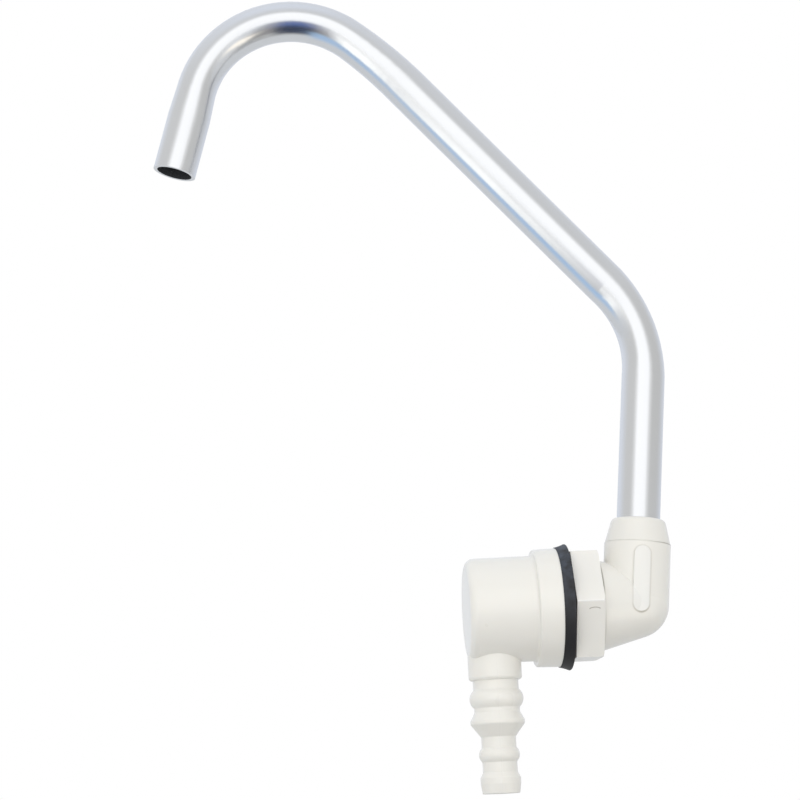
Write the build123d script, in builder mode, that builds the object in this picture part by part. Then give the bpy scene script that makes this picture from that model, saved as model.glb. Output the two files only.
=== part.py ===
from build123d import *
from math import cos, radians, sin, sqrt, tan
import os

# A tap for a panel. Its threaded nose goes through a hole in the panel, its hose tail hangs
# down behind, and its long bent spout stands on a hollow elbow in front.
# The origin is the centre of the flange's front face. +X is the nose axis, out into the room,
# and +Z is up. All but the badge and the split rings is symmetric about the XZ plane.

# Clearances
running_gap = 0.08       # radial play of a turning shaft in its bore
ring_gap = 0.03          # between a rubber ring and each wall that it is pressed on
seat_gap = 0.05          # between fitted pieces that do not turn
end_gap = 0.10           # lengthwise play of the turning pieces
shoulder_gap = 0.30      # between the elbow's shoulder and the end of the nose

# Nose, the bearing of the elbow's spigot
front_bore_radius = 9.1
nose_wall = 4.12         # makes the thread 26.4 mm, that of three-quarter inch pipe
nose_length = 10.6
nose_chamfer = 0.6
bore_chamfer = 0.5

# Housing behind the panel
housing_length = 24.9    # from the flange's front face to the rear face
chamber_step = 1.1       # from the spigot's bore out to the chamber's wall
chamber_depth = 6.5      # from the flange's front face back to that step
housing_wall = 4.0
housing_draft = 0.2      # growth of the radius towards the flange
rear_round = 2.4
flange_length = 6.4
flange_step = 1.6        # height of the flange above the housing
flange_draft = 0.2
flange_round = 0.5
root_fillet = 0.8

# Cap that closes the rear of the housing
cap_seat = 1.3           # width of the step that it stands on
cap_thickness = 2.0
cap_rebate_width = 1.2
cap_rebate_depth = 1.0

# Hose tail: a collar, a large shank with two rings and a small shank with two rings
tail_inset = 7.0         # from the rear face to the tail's axis
large_shank_radius = 6.2
collar_step = 1.08
collar_length = 4.9      # from the housing's underside
collar_edge_round = 0.95
large_ring_height = 1.14
large_ring_arc = 3.1
first_neck = 2.55
second_neck = 1.25
cone_height = 1.2
cone_rise = 2.2
cone_land = 0.9
cone_fall = 3.5
cone_round = 0.8
small_shank_radius = 4.72
small_ring_height = 0.81
small_ring_arc = 2.6
third_neck = 2.9
fourth_neck = 2.8
barb_height = 0.75
barb_rise = 1.4
barb_land = 1.6
barb_tip = 2.7
barb_end_height = 0.35
barb_round = 0.5
tail_end_round = 0.3
neck_fillet = 0.45
tail_wall = 1.5

# Inlet port between the tail and the rotor
inlet_radius = 2.4
inlet_length = 3.3
port_seal_width = 1.8
port_pocket_depth = 1.9

# Gasket and lock nut, which clamp the panel
gasket_thickness = 3.45
gasket_overhang = 0.2    # beyond the flange
gasket_flare = 1.0
gasket_hollow = 0.12     # how far the flared rim is dished
gasket_slope = 0.5       # how far the front face lies back at its rim
gasket_round = 0.35
gasket_bore_gap = 0.2
nut_wall = 1.2           # from the thread to the middle of a flat
nut_thickness = 7.6
nut_chamfer = 0.6
nut_chamfer_rise = 0.35

# Spout tube
tube_radius = 6.0
tube_wall = 1.2
spout_rise = 55.7        # from the collar's top to the first corner of the axis
first_turn = 47.8        # degrees
first_bend_radius = 34.8
upper_run = 105.8        # from the first corner to the second
second_turn = 9.5        # degrees, a gentle start of the last bend
second_bend_radius = 124.6
crest_length = 0.3       # straight between the second bend and the third
third_turn = 112.3       # degrees
third_bend_radius = 28.0
outlet_length = 24.6     # straight from the third bend to the cut end
bend_flattening = 0.4    # of the tube's half width, in the plane of the bends
bend_widening = 0.25     # of its half width across that plane
settling_length = 8.0    # of the outlet, in which the tube turns round again
tube_edge_round = 0.2
clip_groove_depth = 0.4

# Gland in the top of the leg
gland_space = 2.0        # from the tube out to the gland's wall
gland_wall = 1.15
socket_depth = 2.2
backup_thickness = 1.2
skirt_length = 2.7
skirt_wall = 0.85
clip_stand = 0.7         # from the backup ring up to the clip
clip_thickness = 0.8
clip_slot = 2.5
clip_head_room = 0.5

# Collar that closes the gland
collar_height = 6.9
collar_inset = 0.1       # of its foot from the leg's outside
collar_top_inset = 1.8
collar_round = 1.5
collar_tube_gap = 0.15

# Elbow
elbow_inset = 0.77       # of the shoulder from the thread's outside
elbow_land = 0.9         # straight stretch next to the shoulder
elbow_taper = 15.6       # degrees
elbow_round = 9.3
nut_to_leg = 1.64        # from the nut's front face to the leg
leg_lean = 5.74          # degrees that the leg leans away from the panel
leg_height = 16.6        # along the leg's axis, up to the collar
leg_edge_round = 0.2

# Badge pad on the near side of the leg, left bare
badge_width = 4.6
badge_length = 18.0
badge_raise = 0.5
badge_top_gap = 1.42     # from the pad's upper end to the collar's seam
badge_edge_round = 0.2

# Spigot of the elbow, which turns in the nose
spigot_bore_radius = 5.0
ring_groove_depth = 1.5
ring_groove_width = 2.1
front_groove_inset = 7.2     # from the nose's end to the front ring
groove_spacing = 5.8
washer_thickness = 0.8
washer_inset = 0.1       # of its rim from the chamber's wall
circlip_thickness = 1.0
circlip_depth = 0.8      # of its groove
circlip_reach = 0.9      # beyond the spigot
circlip_slot = 3.0
spigot_end_land = 1.2
nozzle_wall = 1.4        # short tube of the spigot that reaches into the rotor
nozzle_length = 2.1
dog_inset = 0.6          # from the nozzle and from the spigot's outside
dog_width = 4.0
dog_length = 1.6

# Rotor, which opens and shuts the inlet
rotor_ring_space = 1.5
port_margin = 0.1        # from the port to the end of the rotor's bore
spring_height = 0.7
spring_thickness = 0.4
spring_inner_radius = 4.0
spring_outer_radius = 8.0

# Places and sizes worked out from those above
nose_radius = front_bore_radius + nose_wall
spigot_radius = front_bore_radius - running_gap
chamber_radius = front_bore_radius + chamber_step
rotor_radius = chamber_radius - running_gap
housing_radius = chamber_radius + housing_wall
cap_radius = chamber_radius + cap_seat
flange_root_radius = housing_radius + housing_draft
flange_rear_radius = flange_root_radius + flange_step
flange_front_radius = flange_rear_radius + flange_draft
rear_x = -housing_length
cap_face_x = rear_x + cap_thickness
nut_front_x = gasket_thickness + nut_thickness
shoulder_x = nose_length + shoulder_gap

tail_x = rear_x + tail_inset
tail_bore_radius = small_shank_radius - tail_wall
pocket_radius = inlet_radius + port_seal_width
pocket_floor_z = -chamber_radius - port_pocket_depth
tail_bore_top_z = pocket_floor_z - inlet_length

gland_radius = tube_radius + gland_space
leg_radius = gland_radius + gland_wall
leg_x = nut_front_x + nut_to_leg + leg_radius
elbow_radius = nose_radius - elbow_inset
elbow_reach = leg_x + leg_radius
backup_top = leg_height - skirt_length
backup_foot = backup_top - backup_thickness
gland_floor = backup_foot - 2 * gland_space
socket_floor = gland_floor - socket_depth
tube_foot = socket_floor + end_gap
clip_foot = backup_top + clip_stand

washer_rear_x = -chamber_depth - end_gap / 2 - washer_thickness
circlip_rear_x = washer_rear_x - end_gap / 2 - circlip_thickness
spigot_end_x = circlip_rear_x - spigot_end_land
nozzle_radius = spigot_bore_radius + nozzle_wall
nozzle_end_x = spigot_end_x - nozzle_length
dog_inner_radius = nozzle_radius + dog_inset
dog_outer_radius = spigot_radius - dog_inset
rotor_front_x = spigot_end_x - end_gap
rotor_rear_x = cap_face_x + end_gap + spring_height


def heading(lean):
    """Return the direction in the XZ plane that leans so many degrees from +Z towards +X."""
    return Vector(sin(radians(lean)), 0, cos(radians(lean)))


leg_foot = Vector(leg_x, 0, 0)
leg_direction = heading(leg_lean)
leg_axis = Axis(leg_foot, leg_direction)
leg_plane = Plane(origin=leg_foot, x_dir=(0, -1, 0), z_dir=leg_direction)
tail_axis = Axis((tail_x, 0, 0), (0, 0, 1))
# In the planes of the next two, x is a radius and y a height along the axis.
leg_section = Plane(
    origin=leg_foot,
    x_dir=(leg_direction.Z, 0, -leg_direction.X),
    z_dir=(0, -1, 0),
)
tail_section = Plane(origin=(tail_x, 0, 0), x_dir=(1, 0, 0), z_dir=(0, -1, 0))


def corner(profile, x, y):
    """Return the corner of a sketch that lies nearest to a point of its plane."""
    return profile.vertices().sort_by_distance((x, y, 0))[0]


def half_chord(arc_radius, height):
    """Return half the width of a rounded ring where it meets its shank."""
    return sqrt(arc_radius**2 - (arc_radius - height) ** 2)


def save(piece, name):
    """Label a finished piece and write it under its node's name."""
    piece.label = name
    export_step(piece, f"parts/{name}.step")


os.makedirs("parts", exist_ok=True)

# Valve body: housing, flange, nose and hose tail, moulded in one
with BuildPart() as valve_body:
    with BuildSketch(Plane.XZ) as body_profile:
        with BuildLine():
            Polyline(
                (rear_x, 0),
                (rear_x, housing_radius),
                (-flange_length, flange_root_radius),
                (-flange_length, flange_rear_radius),
                (0, flange_front_radius),
                (0, nose_radius),
                (nose_length, nose_radius),
                (nose_length, 0),
                close=True,
            )
        make_face()
        fillet(corner(body_profile, rear_x, housing_radius), rear_round)
        fillet(corner(body_profile, -flange_length, flange_root_radius), root_fillet)
        fillet(corner(body_profile, -flange_length, flange_rear_radius), flange_round)
        chamfer(corner(body_profile, nose_length, nose_radius), nose_chamfer)
    revolve(axis=Axis.X)

    # The tail's heights, from the wall of the housing down
    large_half = half_chord(large_ring_arc, large_ring_height)
    small_half = half_chord(small_ring_arc, small_ring_height)
    tail_root_z = -(chamber_radius + housing_radius) / 2
    collar_end_z = -housing_radius - collar_length
    large_ring_z = collar_end_z - first_neck - large_half
    cone_top_z = large_ring_z - large_half - second_neck
    cone_crest_z = cone_top_z - cone_rise
    cone_foot_z = cone_crest_z - cone_land - cone_fall
    small_ring_z = cone_foot_z - third_neck - small_half
    barb_top_z = small_ring_z - small_half - fourth_neck
    barb_crest_z = barb_top_z - barb_rise
    tail_end_z = barb_crest_z - barb_land - barb_tip
    with BuildSketch(tail_section) as tail_profile:
        with BuildLine():
            Polyline(
                (0, tail_end_z),
                (0, tail_root_z),
                (large_shank_radius + collar_step, tail_root_z),
                (large_shank_radius + collar_step, collar_end_z),
                (large_shank_radius, collar_end_z),
                (large_shank_radius, large_ring_z + large_half),
            )
            ThreePointArc(
                (large_shank_radius, large_ring_z + large_half),
                (large_shank_radius + large_ring_height, large_ring_z),
                (large_shank_radius, large_ring_z - large_half),
            )
            Polyline(
                (large_shank_radius, large_ring_z - large_half),
                (large_shank_radius, cone_top_z),
                (large_shank_radius + cone_height, cone_crest_z),
                (large_shank_radius + cone_height, cone_crest_z - cone_land),
                (small_shank_radius, cone_foot_z),
                (small_shank_radius, small_ring_z + small_half),
            )
            ThreePointArc(
                (small_shank_radius, small_ring_z + small_half),
                (small_shank_radius + small_ring_height, small_ring_z),
                (small_shank_radius, small_ring_z - small_half),
            )
            Polyline(
                (small_shank_radius, small_ring_z - small_half),
                (small_shank_radius, barb_top_z),
                (small_shank_radius + barb_height, barb_crest_z),
                (small_shank_radius + barb_height, barb_crest_z - barb_land),
                (small_shank_radius + barb_end_height, tail_end_z),
                (0, tail_end_z),
            )
        make_face()
        collar_corner = corner(tail_profile, large_shank_radius + collar_step, collar_end_z)
        fillet(collar_corner, collar_edge_round)
        for z in (cone_crest_z, cone_crest_z - cone_land):
            fillet(corner(tail_profile, large_shank_radius + cone_height, z), cone_round)
        for z in (barb_crest_z, barb_crest_z - barb_land):
            fillet(corner(tail_profile, small_shank_radius + barb_height, z), barb_round)
        tail_end_corner = corner(tail_profile, small_shank_radius + barb_end_height, tail_end_z)
        fillet(tail_end_corner, tail_end_round)
        for z in (large_ring_z + large_half, large_ring_z - large_half, cone_top_z):
            fillet(corner(tail_profile, large_shank_radius, z), neck_fillet)
        for z in (cone_foot_z, small_ring_z + small_half, small_ring_z - small_half, barb_top_z):
            fillet(corner(tail_profile, small_shank_radius, z), neck_fillet)
    revolve(axis=tail_axis)

    # The bore: cap recess, rotor chamber and the bearing of the spigot
    with BuildSketch(Plane.XZ):
        with BuildLine():
            Polyline(
                (rear_x, 0),
                (rear_x, cap_radius + seat_gap),
                (cap_face_x, cap_radius + seat_gap),
                (cap_face_x, chamber_radius),
                (-chamber_depth, chamber_radius),
                (-chamber_depth, front_bore_radius),
                (nose_length - bore_chamfer, front_bore_radius),
                (nose_length, front_bore_radius + bore_chamfer),
                (nose_length, 0),
                close=True,
            )
        make_face()
    revolve(axis=Axis.X, mode=Mode.SUBTRACT)

    # The waterway of the tail and the pocket of the port seal
    with BuildSketch(tail_section):
        with BuildLine():
            Polyline(
                (0, 0),
                (pocket_radius, 0),
                (pocket_radius, pocket_floor_z),
                (inlet_radius, pocket_floor_z),
                (inlet_radius, tail_bore_top_z),
                (tail_bore_radius, tail_bore_top_z),
                (tail_bore_radius, tail_end_z),
                (0, tail_end_z),
                close=True,
            )
        make_face()
    revolve(axis=tail_axis, mode=Mode.SUBTRACT)
save(valve_body.part, "valve_body")

# Rear cap: a disc with a rebate in its rim for a rubber ring
cap_rebate_radius = cap_radius - cap_rebate_width
with BuildPart() as rear_cap:
    with BuildSketch(Plane.XZ):
        with BuildLine():
            Polyline(
                (rear_x, 0),
                (rear_x, cap_radius),
                (cap_face_x - cap_rebate_depth, cap_radius),
                (cap_face_x - cap_rebate_depth, cap_rebate_radius),
                (cap_face_x, cap_rebate_radius),
                (cap_face_x, 0),
                close=True,
            )
        make_face()
    revolve(axis=Axis.X)
save(rear_cap.part, "rear_cap")

cap_ring_wire = (cap_rebate_depth - 2 * ring_gap) / 2
cap_ring_radius = cap_rebate_radius + ring_gap + cap_ring_wire
with BuildPart() as cap_o_ring:
    with BuildSketch(Plane.XZ):
        with Locations((cap_face_x - ring_gap - cap_ring_wire, cap_ring_radius)):
            Circle(cap_ring_wire)
    revolve(axis=Axis.X)
save(cap_o_ring.part, "cap_o_ring")

# Bulkhead gasket: a thick rubber ring that flares towards the panel
gasket_rear_radius = flange_front_radius + gasket_overhang
gasket_front_radius = gasket_rear_radius + gasket_flare
gasket_rim_x = gasket_thickness - gasket_slope
with BuildPart() as bulkhead_gasket:
    with BuildSketch(Plane.XZ) as gasket_profile:
        with BuildLine():
            Polyline(
                (0, gasket_rear_radius),
                (0, nose_radius + gasket_bore_gap),
                (gasket_thickness, nose_radius + gasket_bore_gap),
                (gasket_thickness, nose_radius + nut_wall),
                (gasket_rim_x, gasket_front_radius),
            )
            ThreePointArc(
                (gasket_rim_x, gasket_front_radius),
                (gasket_rim_x / 2, (gasket_rear_radius + gasket_front_radius) / 2 - gasket_hollow),
                (0, gasket_rear_radius),
            )
        make_face()
        fillet(corner(gasket_profile, gasket_rim_x, gasket_front_radius), gasket_round)
    revolve(axis=Axis.X)
save(bulkhead_gasket.part, "bulkhead_gasket")

# Lock nut: a hexagon with its corners turned off in front
nut_corner_radius = 2 * (nose_radius + nut_wall) / sqrt(3)
with BuildPart() as lock_nut:
    with BuildSketch(Plane.YZ.offset(gasket_thickness)):
        RegularPolygon(nut_corner_radius, 6)
        Circle(nose_radius + seat_gap, mode=Mode.SUBTRACT)
    extrude(amount=nut_thickness)
    with BuildSketch(Plane.XZ):
        with BuildLine():
            Polyline(
                (gasket_thickness, 0),
                (gasket_thickness, nut_corner_radius),
                (nut_front_x - nut_chamfer_rise, nut_corner_radius),
                (nut_front_x, nut_corner_radius - nut_chamfer),
                (nut_front_x, 0),
                close=True,
            )
        make_face()
    revolve(axis=Axis.X, mode=Mode.INTERSECT)
save(lock_nut.part, "lock_nut")

# Port seal: a rubber ring in its pocket, hollowed to the rotor's round
with BuildPart() as port_seal:
    with BuildSketch(Plane.XY.offset(pocket_floor_z)):
        with Locations((tail_x, 0)):
            Circle(pocket_radius - ring_gap)
            Circle(inlet_radius, mode=Mode.SUBTRACT)
    extrude(amount=pocket_radius)
    with BuildSketch(Plane.YZ.offset(rear_x)):
        Circle(chamber_radius)
    extrude(amount=housing_length, mode=Mode.SUBTRACT)
save(port_seal.part, "port_seal")

# Badge pad: a rounded oblong that follows the round of the leg
badge_middle = leg_height - badge_top_gap - badge_length / 2
badge_plane = Plane(origin=leg_foot, x_dir=leg_direction, z_dir=(0, -1, 0))
with BuildPart() as badge_pad:
    with BuildSketch(badge_plane):
        with Locations((badge_middle, 0)):
            SlotOverall(badge_length, badge_width)
    extrude(amount=leg_radius + badge_raise)
    with BuildSketch(leg_plane.offset(badge_middle - badge_length)):
        Circle(leg_radius + badge_raise)
    extrude(amount=2 * badge_length, mode=Mode.INTERSECT)
    pad_face = badge_pad.faces().sort_by(Axis.Y)[0]
    fillet(pad_face.edges(), badge_edge_round)

# Elbow: a tapered body with the leg on top, the spigot behind and the waterway through all
taper_end_radius = elbow_radius - (elbow_reach - shoulder_x - elbow_land) * tan(radians(elbow_taper))
front_ring_x = nose_length - front_groove_inset
rear_ring_x = front_ring_x - groove_spacing
with BuildPart() as elbow:
    with BuildSketch(Plane.XZ) as elbow_profile:
        with BuildLine():
            Polyline(
                (shoulder_x, 0),
                (shoulder_x, elbow_radius),
                (shoulder_x + elbow_land, elbow_radius),
                (elbow_reach, taper_end_radius),
                (elbow_reach, 0),
                close=True,
            )
        make_face()
        fillet(corner(elbow_profile, elbow_reach, taper_end_radius), elbow_round)
    revolve(axis=Axis.X)
    with BuildSketch(leg_plane):
        Circle(leg_radius)
    extrude(amount=leg_height)
    add(badge_pad.part)

    # The spigot, with two ring grooves, a circlip groove, a nozzle and two dogs
    with BuildSketch(Plane.XZ):
        with BuildLine():
            Polyline(
                (nozzle_end_x, 0),
                (nozzle_end_x, nozzle_radius),
                (spigot_end_x, nozzle_radius),
                (spigot_end_x, spigot_radius),
                (shoulder_x, spigot_radius),
                (shoulder_x, 0),
                close=True,
            )
        make_face()
    revolve(axis=Axis.X)
    for groove_x, groove_width, groove_depth in (
        (front_ring_x - ring_groove_width / 2, ring_groove_width, ring_groove_depth),
        (rear_ring_x - ring_groove_width / 2, ring_groove_width, ring_groove_depth),
        (circlip_rear_x, circlip_thickness, circlip_depth),
    ):
        with BuildSketch(Plane.YZ.offset(groove_x)):
            Circle(front_bore_radius)
            Circle(spigot_radius - groove_depth, mode=Mode.SUBTRACT)
        extrude(amount=groove_width, mode=Mode.SUBTRACT)
    with BuildSketch(Plane.YZ.offset(spigot_end_x)):
        Circle(dog_outer_radius)
        Circle(dog_inner_radius, mode=Mode.SUBTRACT)
        Rectangle(2 * dog_outer_radius, dog_width, mode=Mode.INTERSECT)
    extrude(amount=-dog_length)

    # The waterway, and the socket and gland of the spout
    with BuildSketch(Plane.YZ.offset(nozzle_end_x)):
        Circle(spigot_bore_radius)
    extrude(amount=leg_x + spigot_bore_radius - nozzle_end_x, mode=Mode.SUBTRACT)
    with BuildSketch(leg_section):
        with BuildLine():
            Polyline(
                (0, 0),
                (tube_radius - tube_wall, 0),
                (tube_radius - tube_wall, socket_floor),
                (tube_radius + running_gap, socket_floor),
                (tube_radius + running_gap, gland_floor),
                (gland_radius, gland_floor),
                (gland_radius, leg_height),
                (0, leg_height),
                close=True,
            )
        make_face()
    revolve(axis=leg_axis, mode=Mode.SUBTRACT)
save(elbow.part, "elbow")

# Spigot rings: two rubber rings that seal the spigot in the nose
spigot_ring_wire = (ring_groove_depth + running_gap) / 2 - ring_gap
spigot_ring_radius = front_bore_radius - ring_gap - spigot_ring_wire
for ring_x, ring_name in ((front_ring_x, "spigot_o_ring_front"), (rear_ring_x, "spigot_o_ring_rear")):
    with BuildPart() as spigot_o_ring:
        with BuildSketch(Plane.XZ):
            with Locations((ring_x, spigot_ring_radius)):
                Circle(spigot_ring_wire)
        revolve(axis=Axis.X)
    save(spigot_o_ring.part, ring_name)

# Thrust washer between the step of the bore and the circlip
with BuildPart() as thrust_washer:
    with BuildSketch(Plane.YZ.offset(washer_rear_x)):
        Circle(chamber_radius - washer_inset)
        Circle(spigot_radius + seat_gap, mode=Mode.SUBTRACT)
    extrude(amount=washer_thickness)
save(thrust_washer.part, "thrust_washer")

# Circlip: a split ring in the spigot's groove, which keeps the elbow from being drawn out
circlip_radius = spigot_radius + circlip_reach
with BuildPart() as spigot_circlip:
    with BuildSketch(Plane.YZ.offset(circlip_rear_x)):
        Circle(circlip_radius)
        Circle(spigot_radius - circlip_depth + seat_gap, mode=Mode.SUBTRACT)
        with Locations((0, circlip_radius)):
            Rectangle(circlip_slot, 2 * circlip_radius, mode=Mode.SUBTRACT)
    extrude(amount=circlip_thickness)
save(spigot_circlip.part, "spigot_circlip")

# Rotor: a drum shut at the rear, with a side port and slots for the spigot's dogs
rotor_seat_x = nozzle_end_x - rotor_ring_space
with BuildPart() as valve_rotor:
    with BuildSketch(Plane.XZ):
        with BuildLine():
            Polyline(
                (rotor_rear_x, 0),
                (rotor_rear_x, rotor_radius),
                (rotor_front_x, rotor_radius),
                (rotor_front_x, nozzle_radius + seat_gap),
                (rotor_seat_x, nozzle_radius + seat_gap),
                (rotor_seat_x, spigot_bore_radius),
                (tail_x - inlet_radius - port_margin, spigot_bore_radius),
                (tail_x - inlet_radius - port_margin, 0),
                close=True,
            )
        make_face()
    revolve(axis=Axis.X)
    with BuildSketch(Plane.XY):
        with Locations((tail_x, 0)):
            Circle(inlet_radius)
    extrude(amount=-rotor_radius, mode=Mode.SUBTRACT)
    with BuildSketch(Plane.YZ.offset(rotor_front_x)):
        Circle(dog_outer_radius + seat_gap)
        Circle(dog_inner_radius - seat_gap, mode=Mode.SUBTRACT)
        Rectangle(2 * dog_outer_radius + 2 * seat_gap, dog_width + 2 * seat_gap, mode=Mode.INTERSECT)
    extrude(amount=-dog_length, mode=Mode.SUBTRACT)
save(valve_rotor.part, "valve_rotor")

rotor_ring_wire = rotor_ring_space / 2 - ring_gap
with BuildPart() as rotor_o_ring:
    with BuildSketch(Plane.XZ):
        with Locations((rotor_seat_x + rotor_ring_space / 2, nozzle_radius - rotor_ring_wire)):
            Circle(rotor_ring_wire)
    revolve(axis=Axis.X)
save(rotor_o_ring.part, "rotor_o_ring")

# Spring washer: a dished ring that holds the rotor against its ring
with BuildPart() as rotor_spring_washer:
    with BuildSketch(Plane.XZ):
        with BuildLine():
            Polyline(
                (rotor_rear_x - spring_thickness, spring_inner_radius),
                (rotor_rear_x, spring_inner_radius),
                (rotor_rear_x - spring_height + spring_thickness, spring_outer_radius),
                (rotor_rear_x - spring_height, spring_outer_radius),
                close=True,
            )
        make_face()
    revolve(axis=Axis.X)
save(rotor_spring_washer.part, "rotor_spring_washer")

# Gland: two rubber rings under a stiff backup ring, round the foot of the spout
gland_ring_wire = gland_space / 2 - ring_gap
for ring_z, ring_name in (
    (gland_floor + gland_space / 2, "spout_o_ring_lower"),
    (gland_floor + 3 * gland_space / 2, "spout_o_ring_upper"),
):
    with BuildPart() as spout_o_ring:
        with BuildSketch(leg_section):
            with Locations((tube_radius + gland_space / 2, ring_z)):
                Circle(gland_ring_wire)
        revolve(axis=leg_axis)
    save(spout_o_ring.part, ring_name)

with BuildPart() as spout_backup_ring:
    with BuildSketch(leg_plane.offset(backup_foot)):
        Circle(gland_radius - seat_gap)
        Circle(tube_radius + running_gap, mode=Mode.SUBTRACT)
    extrude(amount=backup_thickness)
save(spout_backup_ring.part, "spout_backup_ring")

# Spout clip: a split ring in the tube's groove, trapped under the collar
clip_outer_radius = gland_radius - seat_gap - skirt_wall - running_gap
clip_inner_radius = tube_radius - clip_groove_depth
with BuildPart() as spout_clip:
    with BuildSketch(leg_plane.offset(clip_foot)):
        Circle(clip_outer_radius)
        Circle(clip_inner_radius, mode=Mode.SUBTRACT)
        with Locations((0, clip_outer_radius)):
            Rectangle(clip_slot, 2 * clip_outer_radius, mode=Mode.SUBTRACT)
    extrude(amount=clip_thickness)
save(spout_clip.part, "spout_clip")

# Spout collar: a tapered cap on the leg, with a skirt that bears on the backup ring
collar_foot_radius = leg_radius - collar_inset
collar_top_radius = leg_radius - collar_top_inset
clip_roof = clip_foot + clip_thickness + clip_head_room
with BuildPart() as spout_collar:
    with BuildSketch(leg_section) as collar_profile:
        with BuildLine():
            Polyline(
                (tube_radius + collar_tube_gap, leg_height + collar_height),
                (collar_top_radius, leg_height + collar_height),
                (collar_foot_radius, leg_height),
                (gland_radius - seat_gap, leg_height),
                (gland_radius - seat_gap, backup_top),
                (gland_radius - seat_gap - skirt_wall, backup_top),
                (gland_radius - seat_gap - skirt_wall, clip_roof),
                (tube_radius + collar_tube_gap, clip_roof),
                close=True,
            )
        make_face()
        fillet(corner(collar_profile, collar_top_radius, leg_height + collar_height), collar_round)
        fillet(corner(collar_profile, collar_foot_radius, leg_height), leg_edge_round)
    revolve(axis=leg_axis)
save(spout_collar.part, "spout_collar")

# Spout tube: up from its socket, over the sink and down to the outlet. Bending has squeezed it to
# an oval in each bend.
first_corner = leg_foot + leg_direction * (leg_height + collar_height + spout_rise)
second_corner = first_corner + heading(leg_lean - first_turn) * upper_run
second_reach = second_bend_radius * tan(radians(second_turn / 2))
third_reach = third_bend_radius * tan(radians(third_turn / 2))
crest_direction = heading(leg_lean - first_turn - second_turn)
third_corner = second_corner + crest_direction * (second_reach + crest_length + third_reach)
outlet_direction = heading(leg_lean - first_turn - second_turn - third_turn)
outlet_end = third_corner + outlet_direction * (third_reach + outlet_length)


def drawn_tube(path, oval_places):
    """Return a stretch of the spout tube.

    Its sections are spread evenly along the path, and oval_places says of each whether it is an
    oval. Where there is only one, the whole stretch has that section.
    """
    with BuildPart(mode=Mode.PRIVATE) as stretch:
        for radius, mode in ((tube_radius, Mode.ADD), (tube_radius - tube_wall, Mode.SUBTRACT)):
            for place, is_oval in enumerate(oval_places):
                along = place / max(1, len(oval_places) - 1)
                with BuildSketch(Plane(path @ along, x_dir=(0, 1, 0), z_dir=path % along)):
                    if is_oval:
                        Ellipse(radius + bend_widening, radius - bend_flattening)
                    else:
                        Circle(radius)
            sweep(path=path, multisection=len(oval_places) > 1, mode=mode)
    return stretch.part


with BuildLine() as spout_path:
    FilletPolyline(
        leg_foot + leg_direction * tube_foot,
        first_corner,
        second_corner,
        third_corner,
        outlet_end,
        radius=[first_bend_radius, second_bend_radius, third_bend_radius],
    )
lower_leg, first_bend, upper_leg, second_bend, crest, third_bend, outlet = (
    spout_path.wire().order_edges()
)
settled = settling_length / outlet_length
with BuildPart() as spout_tube:
    add(drawn_tube(lower_leg, [False]))
    add(drawn_tube(first_bend, [False, True, False]))
    add(drawn_tube(upper_leg, [False]))
    add(drawn_tube(second_bend, [False, True]))
    add(drawn_tube(crest, [True]))
    add(drawn_tube(third_bend, [True]))
    add(drawn_tube(outlet.trim(0, settled), [True, False]))
    add(drawn_tube(outlet.trim(settled, 1), [False]))
    fillet(spout_tube.edges().sort_by_distance(outlet_end)[:2], tube_edge_round)
    with BuildSketch(leg_plane.offset(clip_foot)):
        Circle(tube_radius + running_gap)
        Circle(clip_inner_radius, mode=Mode.SUBTRACT)
    extrude(amount=clip_thickness, mode=Mode.SUBTRACT)
save(spout_tube.part, "spout_tube")
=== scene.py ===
"""A bulkhead tap with a folding, swivelling spout, dressed for the camera.

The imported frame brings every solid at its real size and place. This script gives each of them
the surface of the real piece, and sets up the studio and the camera that match the photograph.
"""

from __future__ import annotations

import logging
import math
from dataclasses import dataclass
from enum import Enum
from typing import Any

import bpy
from mathutils import Matrix, Vector


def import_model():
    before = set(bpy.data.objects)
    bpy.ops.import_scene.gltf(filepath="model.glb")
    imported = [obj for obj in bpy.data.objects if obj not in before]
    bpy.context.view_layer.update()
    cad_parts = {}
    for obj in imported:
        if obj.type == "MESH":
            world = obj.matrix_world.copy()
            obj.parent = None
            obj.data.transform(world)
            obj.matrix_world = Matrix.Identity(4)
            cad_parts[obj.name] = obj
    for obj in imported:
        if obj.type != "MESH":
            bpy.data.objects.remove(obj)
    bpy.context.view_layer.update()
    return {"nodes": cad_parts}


log = logging.getLogger("tap")

Tree = bpy.types.NodeTree
Node = bpy.types.Node
Socket = bpy.types.NodeSocket
Pair = tuple[float, float]
Triple = tuple[float, float, float]
Colour = tuple[float, float, float, float]

MM = 0.001

# The colour inputs of a Mix node, which share their names with its other inputs
MIX_A, MIX_B = 6, 7

# Values between which nearly all of a noise lies
NOISE_LOW, NOISE_HIGH = 0.2, 0.8

# Distance between the bands of a wave texture at a scale of 1, in metres
WAVE_PERIOD = 0.314

PAPER_ROUGHNESS = 0.9


class Ray(Enum):
    """Kinds of ray that the studio answers in its own way, by their sockets on Light Path."""

    CAMERA = "Is Camera Ray"
    DIFFUSE = "Is Diffuse Ray"
    GLOSSY = "Is Glossy Ray"


def srgb(code: str) -> Colour:
    """Turn an sRGB hex colour into the linear colour that a socket takes.

    Args:
        code: Six hex digits, red first.

    Returns:
        Red, green, blue and an alpha of 1.
    """
    parts = [int(code[k : k + 2], 16) / 255 for k in (0, 2, 4)]
    # The numbers are those of the sRGB standard.
    linear = [p / 12.92 if p <= 0.04045 else ((p + 0.055) / 1.055) ** 2.4 for p in parts]
    return (linear[0], linear[1], linear[2], 1.0)


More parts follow.
